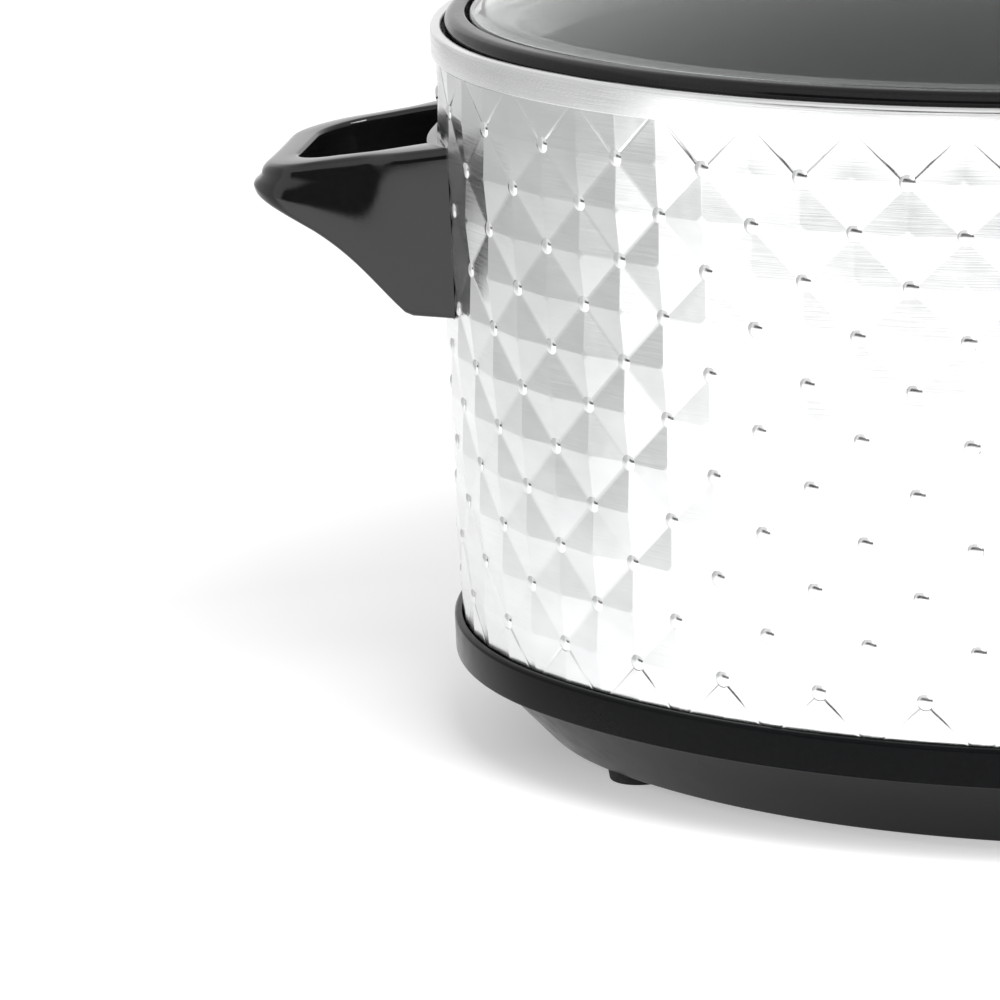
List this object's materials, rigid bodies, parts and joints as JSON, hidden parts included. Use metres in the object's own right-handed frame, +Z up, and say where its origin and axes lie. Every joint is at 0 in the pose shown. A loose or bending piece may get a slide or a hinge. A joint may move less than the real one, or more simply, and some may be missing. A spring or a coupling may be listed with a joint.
{
  "type": "slow cooker",
  "caption": "Oval countertop slow cooker: diamond-embossed steel body, black moulded base and loop handles, lift-out crock, glass lid and rotary heat dial.",
  "frame": {"origin": "under the middle of the oval body, on the plane that the four feet stand on", "axes": "+X along the body's long axis towards the right handle, -Y towards the dial, +Z up"},
  "size_m": [0.445, 0.3245, 0.2344],
  "materials": {
    "embossed_steel": "embossed, bright",
    "rim_steel": "brushed",
    "liner_metal": "aluminised, dull",
    "base_plastic": "gloss black",
    "rubber_black": "matte",
    "fastener_steel": "zinc plated",
    "heater_mica": "mica sheet",
    "glass_wool": "felted",
    "fuse_brass": "satin",
    "terminal_ceramic": "unglazed",
    "lead_sleeve": "braided sleeve",
    "bezel_metal": "spun",
    "switch_plastic": "moulded",
    "pointer_white": "painted",
    "crock_glaze": "gloss black glaze",
    "lid_glass": "clear"
  },
  "bodies": {
    "housing": {"outer_wrap": "embossed_steel", "rim_band": "rim_steel", "liner_pot": "liner_metal", "heat_shield": "liner_metal", "bottom_cover": "liner_metal", "base": "base_plastic", "left_handle": "base_plastic", "right_handle": "base_plastic", "foot_front_left": "rubber_black", "foot_front_right": "rubber_black", "foot_rear_left": "rubber_black", "foot_rear_right": "rubber_black", "cord_gland": "rubber_black", "base_screws": "fastener_steel", "base_nuts": "fastener_steel", "centre_stud": "fastener_steel", "spacer_sleeves": "fastener_steel", "centre_washer": "fastener_steel", "centre_nut": "fastener_steel", "heater_clamp": "fastener_steel", "fuse_clip": "fastener_steel", "left_handle_plate": "fastener_steel", "right_handle_plate": "fastener_steel", "handle_screws": "fastener_steel", "switch_nut": "fastener_steel", "heater_band": "heater_mica", "insulation": "glass_wool", "thermal_fuse": "fuse_brass", "terminal_block": "terminal_ceramic", "lead_live": "lead_sleeve", "lead_neutral": "lead_sleeve", "lead_fuse": "lead_sleeve", "lead_heater": "lead_sleeve", "lead_earth": "lead_sleeve", "control_bezel": "bezel_metal", "rotary_switch": "switch_plastic"},
    "crock": {"crock": "crock_glaze"},
    "lid": {"lid_glass": "lid_glass", "lid_seal_washer": "rubber_black", "lid_knob": "base_plastic", "lid_knob_ring": "bezel_metal", "lid_knob_screw": "fastener_steel"},
    "dial": {"switch_shaft": "fastener_steel", "control_knob": "base_plastic", "knob_cap": "bezel_metal", "knob_pointer": "pointer_white"}
  },
  "joints": [
    {"name": "crock_lift", "type": "slide", "parent": "housing", "child": "crock", "axis": [0, 0, 1], "range_m": [0, 0.14]},
    {"name": "lid_lift", "type": "slide", "parent": "crock", "child": "lid", "axis": [0, 0, 1], "range_m": [0, 0.08]},
    {"name": "dial_turn", "type": "hinge", "parent": "housing", "child": "dial", "pos_m": [0, -0.15, 0.06], "axis": [0, 1, 0], "range_deg": [0, 270]}
  ]
}
